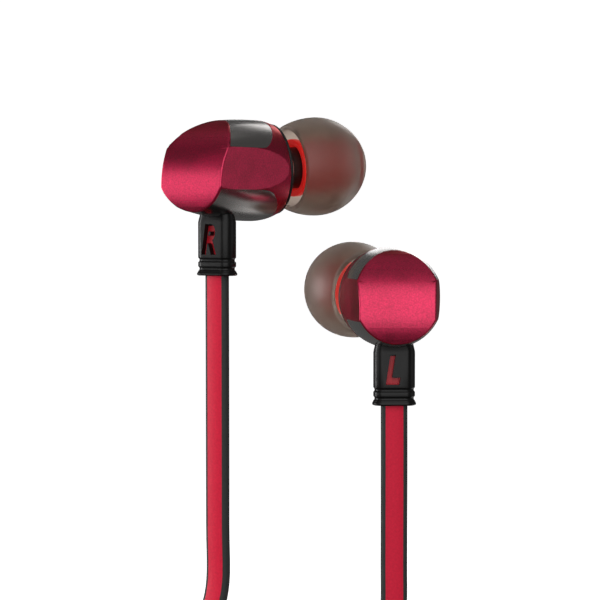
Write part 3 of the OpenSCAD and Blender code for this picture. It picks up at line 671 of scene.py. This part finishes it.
def on_back(point):
    from_back = math.hypot(point.y - BACK_CENTRE, point.z + BACK_DROP) - BACK_R
    return abs(from_back) < 0.02 and point.y < BACK_CENTRE


def on_front(point):
    nozzle = ALONG_NOZZLE @ Vector((0, 0, 1))
    return abs(point.dot(nozzle) - FRONT_AT) < 0.01


def make_housing():
    """The cover with its two windows, and the barrel that fills them and lines it."""
    cover = housing_solid("cover")
    combine(cover, housing_solid("hollow", COVER_WALL), "DIFFERENCE")
    combine(cover, window_space(UPPER_WINDOW_FRONT, 1), "DIFFERENCE")
    combine(cover, window_space(LOWER_WINDOW_FRONT, -1), "DIFFERENCE")
    combine(cover, rod(GASKET_R + FIT, 0, 12), "DIFFERENCE")
    barrel = housing_solid("barrel", 0.02)
    combine(barrel, twin(cover), "DIFFERENCE")
    combine(barrel, housing_solid("hollow", INNER_WALL), "DIFFERENCE")
    combine(barrel, rod(SPIGOT_R + FIT, 0, 12), "DIFFERENCE")
    soften_sharp(cover, 50, 0.2, 4, on_back)
    soften_sharp(cover, 50, 0.12, 3, on_front)
    soften_sharp(cover, 65, 0.05, 2)
    for piece, part, finish, slot in ((cover, "cover", anodised_red, "anodised_cover"),
                                      (barrel, "barrel", polished_grey, "polished_barrel")):
        place_pairs(piece, part, IN_PLACE, finish, smooth_angle=35, even=True)


def make_front():
    """Gasket, cap, nozzle and bright ring, turned about the nozzle's axis. The gasket's lip lies on
    the cover's front edge."""
    seat = FRONT_AT - COVER_WALL
    lip = FRONT_AT + FIT
    gasket_in = GASKET_R - GASKET_W
    gasket = turned("gasket", [
        (gasket_in, seat), (GASKET_R, seat), (GASKET_R, lip), (GASKET_LIP_R, lip),
        (GASKET_LIP_R, FRONT_AT + GASKET_STAND), (gasket_in, FRONT_AT + GASKET_STAND),
        (gasket_in, seat)], 128)
    bevelled(gasket, 0.12, 4)
    place_pairs(gasket, "front_gasket", ALONG_NOZZLE, gasket_black)
    spigot = seat - FIT - SPIGOT_LENGTH
    neck = NECK_R + FIT
    cap = turned("cap", [
        (neck, spigot), (SPIGOT_R, spigot), (SPIGOT_R, seat), (CAP_R, seat), (CAP_R, FRONT_AT + 0.1),
        (CAP_R - 0.5, FRONT_AT + 0.65), (RING_R + 0.3, RING_AT - 0.25), (RING_R, RING_AT), (neck, RING_AT),
        (neck, spigot)], 128)
    bevelled(cap, 0.12, 3, 15)
    place_pairs(cap, "front_cap", ALONG_NOZZLE, nozzle_black)
    ring = turned("ring", [(neck, RING_AT + FIT), (RING_R, RING_AT + FIT), (RING_R, RING_AT + RING_T),
                           (neck, RING_AT + RING_T), (neck, RING_AT + FIT)], 128)
    bevelled(ring, 0.1, 4)
    place_pairs(ring, "nozzle_ring", ALONG_NOZZLE, bright_metal)
    bore = NECK_R - NOZZLE_WALL
    flange = spigot + 0.07
    tube = turned("tube", [
        (bore, flange), (NECK_R + FLANGE_W, flange), (NECK_R + FLANGE_W, flange + FLANGE_T),
        (NECK_R, flange + FLANGE_T), (NECK_R, LIP_AT - 0.7), (LIP_R, LIP_AT - 0.2), (LIP_R, LIP_AT + 0.2),
        (NECK_R, LIP_AT + 1), (NECK_R, NOZZLE_END - 0.2), (NECK_R - 0.2, NOZZLE_END), (bore, NOZZLE_END),
        (bore, flange)], 128)
    bevelled(tube, 0.08, 3, 20)
    place_pairs(tube, "nozzle", ALONG_NOZZLE, nozzle_black)


# ---- Ear tip ----


def make_tip():
    core = turned("core", [
        (CORE_BORE_R, CORE_BACK), (CORE_BEAD_R, CORE_BACK), (CORE_BEAD_R, CORE_BACK + 0.8),
        (CORE_R, CORE_BACK + 0.8), (CORE_R, CORE_FRONT), (SOUND_R, CORE_FRONT), (SOUND_R, BORE_END),
        (CORE_BORE_R, BORE_END), (CORE_BORE_R, CORE_BACK)], 128)
    bevelled(core, 0.18, 4, 40)
    place_pairs(core, "tip_core", ALONG_NOZZLE, core_red_painted_glow, tip=True)

    def skirt(inset):
        drop = math.degrees(math.asin(SKIRT_LENGTH / (TIP_SKIRT_ARC - inset)))
        return arc_points(TIP_R - TIP_SKIRT_ARC, TIP_AT, TIP_SKIRT_ARC - inset, -drop, 0, 20)

    def front(inset, end_r):
        turn = math.degrees(math.acos((end_r - TIP_R + TIP_FRONT_ARC) / (TIP_FRONT_ARC - inset)))
        return arc_points(TIP_R - TIP_FRONT_ARC, TIP_AT, TIP_FRONT_ARC - inset, 0, turn, 30)

    def ceiling(points):
        return [point for point in points if point[1] < CORE_FRONT - 1.0]

    outside = skirt(0) + front(0, SOUND_R)[1:]
    inside = ceiling(skirt(DOME_WALL) + front(DOME_WALL, CORE_R)[1:])
    dome = turned("dome", outside + [(SOUND_R, CORE_FRONT + FIT), (CORE_R + FIT, CORE_FRONT + FIT),
                                     (CORE_R + FIT, CORE_FRONT - 1.0)] + inside[::-1] + outside[:1], 160)
    bevelled(dome, 0.2, 5, 50)
    place_pairs(dome, "tip_dome", ALONG_NOZZLE, dome_smoke, tip=True)


# ---- Cord boot ----


def stacked_bar(name, width, thickness, levels):
    """A flat bar with round ends, drawn down level by level: each is a height and how far the
    bar stands out there across its width and its thickness."""
    deselect()
    bpy.ops.mesh.primitive_plane_add(size=1, location=(0, 0, levels[0][0]))
    bar = bpy.context.object
    bar.name = name
    bar.scale = (width + 2 * levels[0][1], thickness + 2 * levels[0][2], 1)
    apply_place()

    def draw_down():
        bpy.ops.mesh.bevel(offset=thickness / 2 + levels[0][2] - 0.002, affect="VERTICES", segments=16)
        bpy.ops.mesh.select_all(action="SELECT")
        for (z0, w0, t0), (z1, w1, t1) in zip(levels, levels[1:]):
            bpy.ops.mesh.extrude_region_move(TRANSFORM_OT_translate={"value": (0, 0, z1 - z0)})
            bpy.ops.transform.resize(value=((width + 2 * w1) / (width + 2 * w0),
                                            (thickness + 2 * t1) / (thickness + 2 * t0), 1),
                                     center_override=(0, 0, z1))

    edit(bar, draw_down, tidy_mesh)
    return bar


def groove_levels(middle, radius=0.32, depth=0.16):
    """Levels of one round-bottomed groove, from its upper lip to its lower one."""
    reach = math.sqrt(radius ** 2 - depth ** 2)
    made = [(middle + reach + 0.05, 0.0, 0.0), (middle + reach, -0.012, -0.012)]
    for i in range(1, 8):
        z = reach * (1 - i / 4)
        inwards = depth - math.sqrt(radius ** 2 - z ** 2)
        made.append((middle + z, inwards, inwards))
    made += [(middle - reach, -0.012, -0.012), (middle - reach - 0.05, 0.0, 0.0)]
    return made


def channel_letter(letter, mirrored):
    """A slanted capital, standing in the boot's face, to cut its recess."""
    deselect()
    bpy.ops.object.text_add()
    text = bpy.context.object
    text.data.body = letter
    text.data.offset = 0.05
    text.data.extrude = LETTER_DEPTH
    text.data.resolution_u = 6
    bpy.ops.object.convert(target="MESH")
    text = bpy.context.object
    edit(text, tidy_mesh)
    xs = [v.co.x for v in text.data.vertices]
    ys = [v.co.y for v in text.data.vertices]
    stretch = Matrix.Diagonal((LETTER_W[letter] / (max(xs) - min(xs)), LETTER_H / (max(ys) - min(ys)), 1, 1))
    centred = Matrix.Translation((-(max(xs) + min(xs)) / 2, -(max(ys) + min(ys)) / 2, 0))
    slant = Matrix.Identity(4)
    slant[0][1] = LETTER_SLANT
    flip = Matrix.Diagonal((-1 if mirrored else 1, 1, 1, 1))
    stood(text, flip @ slant @ stretch @ centred)
    if mirrored:
        text.data.flip_normals()
    return stood(text, Matrix.Translation((0, LETTER_FACE, LETTER_AT)) @ turned_about("X", 90))


def make_boots():
    levels = [(1.2 - BOOT_TOP, -0.25, -0.25), (0.35 - BOOT_TOP, -0.2, -0.2), (-0.2 - BOOT_TOP, -0.06, -0.06),
              (-0.55 - BOOT_TOP, 0.0, 0.0), (-7.6, 0.0, 0.0), (-9.2, 0.0, 0.0), (-10.4, 0.0, 0.0)]
    for groove in BOOT_GROOVES:
        levels += groove_levels(groove)
    levels += [(-12.9, 0.02, 0.02), (-13.0, 0.07, 0.07), (-13.12, 0.135, 0.135), (-13.2, 0.15, 0.15),
               (-13.28, 0.135, 0.135), (-13.36, 0.08, 0.08), (-BOOT_END, -0.02, -0.02)]
    body = stacked_bar("boot", BOOT_W, BOOT_T, levels)
    stand = Matrix.Translation((0, -BOOT_AT, 0))
    for side, letter in zip(SIDES, "RL"):
        boot = combine(twin(body), channel_letter(letter, side == "left"), "DIFFERENCE", True)
        stood(boot, stand)
        combine(boot, housing_solid("seat", -0.01), "DIFFERENCE")
        settle(boot, side + "_boot_made", HOUSING[side], boot_black, "headset",
               (side + "_boot",), 40)
    bpy.data.objects.remove(body, do_unlink=True)
    core = stacked_bar("core", BOOT_CORE_W, BOOT_CORE_T, [
        (-BOOT_TOP - 0.9, -0.1, -0.1), (-BOOT_TOP - 1.0, 0, 0), (-9.5, 0, 0), (-12.4, 0, 0),
        (-12.5, -0.1, -0.1)])
    place_pairs(core, "boot_core", stand, boot_red)


make_housing()
make_front()
make_tip()
make_boots()

# ---- Cords ----
# Routes in millimetres from the middle of the coil: x, y, z and the turn of the flat side.

COIL_AT = Vector((-1.4, -10.2, -90.0))


def boot_exit(at, yaw):
    angle = math.radians(yaw)
    point = at - BOOT_AT * Vector((math.sin(angle), math.cos(angle), 0)) - COIL_AT
    return (point.x, point.y, point.z - BOOT_END)


right_exit = boot_exit(right_at, RIGHT_YAW)
left_exit = boot_exit(left_at, -LEFT_YAW)
right_route = [
    (*right_exit, -RIGHT_YAW),
    (-11, 0, 68, -RIGHT_YAW), (-11, 0, 60, -RIGHT_YAW), (-11, 0, 52, -RIGHT_YAW),
    (-11, 0, 44, -RIGHT_YAW), (-11, 0, 37, -RIGHT_YAW), (-12, -0.2, 32.8, -40),
    (-14.4, -0.5, 28.6, -50), (-17.5, -1, 24.5, -60), (-20.6, -1.5, 20.4, -72),
    (-23, -1.8, 16.2, -82), (-24, -1.95, 12, -90), (-24, -1.95, 8, -90), (-24, -1.95, 3.5, -90),
]
left_route = [
    (*left_exit, LEFT_YAW),
    (11.4, 0, 52, 2), (11.4, 0, 45, 2), (11.4, 0, 39, 2), (11.4, 0, 34.3, 4),
    (11.1, 0.1, 32, 12), (10, 0.3, 29.8, 26), (8.3, 0.6, 28.1, 42), (5.9, 1, 27.1, 58),
    (3.3, 1.4, 26.3, 72), (0.4, 1.8, 25.4, 84), (-2.9, 1.95, 24.5, 90),
]
tail_route = [
    (0.8, 10.2, 24.4, 90), (-2.4, 10.3, 24.5, 90), (-5.5, 10.6, 23.3, 90), (-7.9, 11, 21, 90),
    (-9.3, 11.4, 18, 90), (-9.7, 11.7, 15, 90), (-9.7, 11.8, 11, 90),
]
COIL_STEPS = 48
COIL_PITCH = 1.8
UPPER_R = 24
UPPER_JOIN = 180
UPPER_END = 810
LEFT_JOIN = 105
LAYER = 1.95
INNER_R = 12.5
MAIN_START = 270
MAIN_END = 2600
MAIN_LAYER = 6.2
MAIN_LIFT = 10.2
LIFT_TURN = 50
BEND_R = 7.5
FORK_X = -7.5
FORK_TOP = 9
SPLITTER_H = 11


def ease(share):
    share = max(0.0, min(1.0, share))
    return share * share * (3 - 2 * share)


def on_circle(radius, degrees):
    return radius * math.cos(math.radians(degrees)), radius * math.sin(math.radians(degrees))


def upper_radius(degrees):
    return UPPER_R - COIL_PITCH * (degrees - UPPER_JOIN) / 360


def main_radius(degrees):
    return INNER_R + COIL_PITCH * (degrees - MAIN_START) / 360


def upper_coil(first, side):
    """One upper cord from its first angle to the splitter. side is -1 in front and 1 behind."""
    turn, y = 90 * side, LAYER * side
    steps = round((UPPER_END - first) / 360 * COIL_STEPS)
    points = []
    for i in range(steps + 1):
        angle = first + (UPPER_END - first) * i / steps
        x, z = on_circle(upper_radius(angle), angle)
        points.append((x, y, z, turn))
    for i in range(1, 13):
        x, z = on_circle(BEND_R, 90 + 7.5 * i)
        points.append((x, y, upper_radius(UPPER_END) - BEND_R + z, turn))
    points.append((FORK_X, y, FORK_TOP + 2, turn))
    points.append((FORK_X, y, FORK_TOP, turn))
    return points


def main_coil():
    """The main cord from the splitter, out through all its turns, to where it leaves the coil."""
    points = [(FORK_X, 0, FORK_TOP - SPLITTER_H, 90)]
    for i in range(12):
        angle = 180 + 7.5 * i
        x, z = on_circle(BEND_R, angle)
        points.append((x, MAIN_LAYER * ease((angle - 180) / 180), BEND_R - INNER_R + z, 90))
    steps = round((MAIN_END - MAIN_START) / 360 * COIL_STEPS)
    for i in range(steps + 1):
        angle = MAIN_START + (MAIN_END - MAIN_START) * i / steps
        x, z = on_circle(main_radius(angle), angle)
        lift = ease((angle - MAIN_END + LIFT_TURN) / LIFT_TURN)
        y = MAIN_LAYER * ease((angle - 180) / 180) + (MAIN_LIFT - MAIN_LAYER) * lift
        points.append((x, y, z, 90))
    return points


def rounded(route, parts=5):
    """A smooth line through every point of a listed route."""
    made = []
    for i in range(len(route) - 1):
        before, a, b, after = (Vector(route[max(0, min(len(route) - 1, i + k))]) for k in (-1, 0, 1, 2))
        for step in range(parts):
            t = step / parts
            bend = (2 * before - 5 * a + 4 * b - after) * t ** 2 + (3 * a - before - 3 * b + after) * t ** 3
            made.append(tuple(0.5 * (2 * a + (b - before) * t + bend)))
    made.append(tuple(route[-1]))
    return made


def cord_outline():
    """The flat cord's outline: flat faces with a fine line beside the stripe, and round edges."""
    half_w, half_t = CORD_W / 2, CORD_T / 2
    flat = half_w - half_t + 0.05
    line = 0.035
    top = [(0, half_t), (STRIPE_HALF - 0.07, half_t), (STRIPE_HALF, half_t - line)]
    round_edge = [(flat + (half_w - flat) * math.sin(math.radians(a)), half_t * math.cos(math.radians(a)))
                  for a in (12, 30, 50, 70, 90)]
    quarter = top + [(flat - 0.04, half_t)] * (flat - 0.04 > STRIPE_HALF + 0.07) + round_edge
    lower = [(x, -y) for x, y in reversed(quarter[:-1])]
    right_half = quarter + lower
    left_half = [(-x, y) for x, y in reversed(right_half[1:-1])]
    return right_half + left_half


OUTLINE = cord_outline()


def sweep_cord(name, route):
    """A closed tube of the cord's outline along a route, with a UV map that runs across and along."""
    points = [Vector(p[:3]) for p in route]
    verts = []
    along = [0.0]
    for a, b in zip(points, points[1:]):
        along.append(along[-1] + (b - a).length)
    for i, point in enumerate(points):
        tangent = (points[min(i + 1, len(points) - 1)] - points[max(i - 1, 0)]).normalized()
        across = tangent.cross(Vector((0, 1, 0))).normalized()
        deep = across.cross(tangent)
        turn = math.radians(route[i][3])
        wide = math.cos(turn) * across + math.sin(turn) * deep
        thick = math.cos(turn) * deep - math.sin(turn) * across
        for x, y in OUTLINE:
            verts.append((point + COIL_AT + x * wide + y * thick) * MM)
    n = len(OUTLINE)
    faces = []
    for i in range(len(points) - 1):
        for k in range(n):
            a, b = i * n + k, i * n + (k + 1) % n
            faces.append((a, a + n, b + n, b))
    faces.append(tuple(range(n)))
    faces.append(tuple(reversed(range((len(points) - 1) * n, len(points) * n))))
    mesh = bpy.data.meshes.new(name)
    mesh.from_pydata(verts, [], faces)
    uv = mesh.uv_layers.new(name="cord")
    for loop in mesh.loops:
        ring, corner = divmod(loop.vertex_index, n)
        uv.data[loop.index].uv = (OUTLINE[corner][0] / CORD_W + 0.5, along[ring] * MM)
    piece = bpy.data.objects.new(name, mesh)
    bpy.context.scene.collection.objects.link(piece)
    active(piece)
    bpy.ops.object.mode_set(mode="EDIT")
    bpy.ops.mesh.select_all(action="SELECT")
    bpy.ops.mesh.normals_make_consistent(inside=False)
    bpy.ops.object.mode_set(mode="OBJECT")
    return piece, [(p + COIL_AT) * MM for p in points], along[-1] * MM


def lay_cord(name, route, replaced):
    piece, path, length = sweep_cord(name, route)
    settle(piece, name, Matrix.Identity(4), cord_two_tone, "headset", replaced, 40)
    return piece


# ---- Splitter, band and plug mouldings ----

SPLITTER_W = 8.3
SPLITTER_T = 3.2
TIE_LOW = Vector((11.75, -3.85, -3.0))
TIE_HIGH = Vector((24.65, 8.1, 3.0))
TIE_T = 0.8
PLUG_FOOT = Vector((-9.7, 11.8, 11.0))
RELIEF_R = 2.1
RELIEF_H = 8.0
GRIP_R = 3.5
GRIP_H = 14.0


def make_splitter():
    """The moulded fork of the two upper cords, which narrows to the main cord."""
    neck_w = (CORD_W + 1.2 - SPLITTER_W) / 2
    levels = [(0, -0.3, -0.3), (-0.1, -0.12, -0.12), (-0.3, 0.0, 0.0), (-4.95, 0.0, 0.0)]
    for i in range(1, 9):
        share = ease(i / 9)
        levels.append((-4.95 - 5.2 * i / 9, neck_w * share, -0.3 * share))
    levels += [(-10.3, neck_w, -0.3), (-10.8, neck_w, -0.3), (-10.95, neck_w - 0.08, -0.38),
               (-SPLITTER_H, neck_w - 0.25, -0.5)]
    piece = stacked_bar("splitter", SPLITTER_W, SPLITTER_T, levels)
    place = TO_METRES @ Matrix.Translation(COIL_AT + Vector((FORK_X, 0, FORK_TOP))) @ turned_about("Z", 90)
    settle(piece, "splitter_made", place, boot_black, "headset", ("splitter",), 40)


def make_tie():
    """The band round all the turns at the coil's right side, with rounded corners and edges."""
    low = TIE_LOW - Vector((TIE_T, TIE_T, 0))
    high = TIE_HIGH + Vector((TIE_T, TIE_T, 0))
    middle = (low + high) / 2
    deselect()
    bpy.ops.mesh.primitive_plane_add(size=1, location=(middle.x, middle.y, low.z))
    band = bpy.context.object
    band.scale = (high.x - low.x, high.y - low.y, 1)
    apply_place()

    def draw_up():
        bpy.ops.mesh.bevel(offset=1.1, affect="VERTICES", segments=10)
        bpy.ops.mesh.select_all(action="SELECT")
        bpy.ops.mesh.inset(thickness=TIE_T)
        bpy.ops.mesh.delete(type="FACE")
        bpy.ops.mesh.select_all(action="SELECT")
        bpy.ops.mesh.extrude_region_move(TRANSFORM_OT_translate={"value": (0, 0, high.z - low.z)})

    edit(band, draw_up, tidy_mesh)
    bevelled(band, 0.25, 4, 60)
    place = TO_METRES @ Matrix.Translation(COIL_AT)
    settle(band, "coil_tie_made", place, tie_black, "headset", ("coil_tie",), 40)


def grooved(points, grooves, width, depth):
    """A profile with square grooves let into its outer side, each given by its first height."""
    made = []
    for (r0, z0), (r1, z1) in zip(points, points[1:]):
        made.append((r0, z0))
        for low in grooves:
            if z0 < low and low + width < z1:
                for height, drop in ((low, 0), (low, depth), (low + width, depth), (low + width, 0)):
                    outer = r0 + (r1 - r0) * (height - z0) / (z1 - z0)
                    made.append((outer - drop, height))
    return made + [points[-1]]


def make_plug_mouldings():
    place = TO_METRES @ Matrix.Translation(COIL_AT + PLUG_FOOT) @ turned_about("X", 180)
    outline = [(0, 0), (RELIEF_R, 0), (RELIEF_R + 0.6, RELIEF_H), (0, RELIEF_H)]
    relief = turned("relief", grooved(outline, (1.5, 3.1, 4.7, 6.3), 0.6, 0.35))
    bevelled(relief, 0.15, 4, 40)
    settle(relief, "plug_relief_made", place, plug_black, "headset", ("plug_relief",), 40)
    outline = [(0, 0), (GRIP_R - 0.7, 0), (GRIP_R, 0.9), (GRIP_R, GRIP_H - 0.8), (GRIP_R - 0.6, GRIP_H),
               (0, GRIP_H)]
    grip = turned("grip", grooved(outline, (3.0, 4.8, 6.6, 8.4, 10.2), 0.7, 0.3))
    bevelled(grip, 0.15, 4, 25)
    stood(grip, Matrix.Translation((0, 0, RELIEF_H)))
    settle(grip, "plug_grip_made", place, plug_black, "headset", ("plug_grip",), 40)


make_splitter()
make_tie()
make_plug_mouldings()

# ---- Laying the cords ----

right_line = rounded(right_route) + upper_coil(UPPER_JOIN, -1)
left_line = rounded(left_route) + upper_coil(LEFT_JOIN, 1)
main_line = main_coil() + rounded(tail_route)
lay_cord("right_cord_flex", right_line, ("right_cord", "right_cord_coil"))
lay_cord("left_cord_flex", left_line, ("left_cord", "left_cord_coil"))
lay_cord("main_cord_flex", main_line, ("main_cord_coil", "main_cord_tail"))

# ---- Finishes of the parts that keep their own form ----

NODE_FINISH = {
    "sound_screen": screen_steel, "driver_cup": plain_steel, "driver_magnet": magnet_nickel,
    "driver_plate": plain_steel, "voice_coil": copper_wire, "diaphragm": film_amber,
    "terminal_board": board_green,
}
SHARED_FINISH = {
    "plug_sleeve": contact_gold, "plug_ring": contact_gold, "plug_tip": contact_gold,
    "plug_insulators": insulator_black,
}


def finish_node(name, material):
    piece = nodes[name]
    piece.data.materials.clear()
    piece.data.materials.append(material)
    active(piece)
    bpy.ops.object.shade_smooth_by_angle(angle=math.radians(30))


for side in SIDES:
    for part, material in NODE_FINISH.items():
        finish_node(side + "_" + part, material)
for name, material in SHARED_FINISH.items():
    finish_node(name, material)
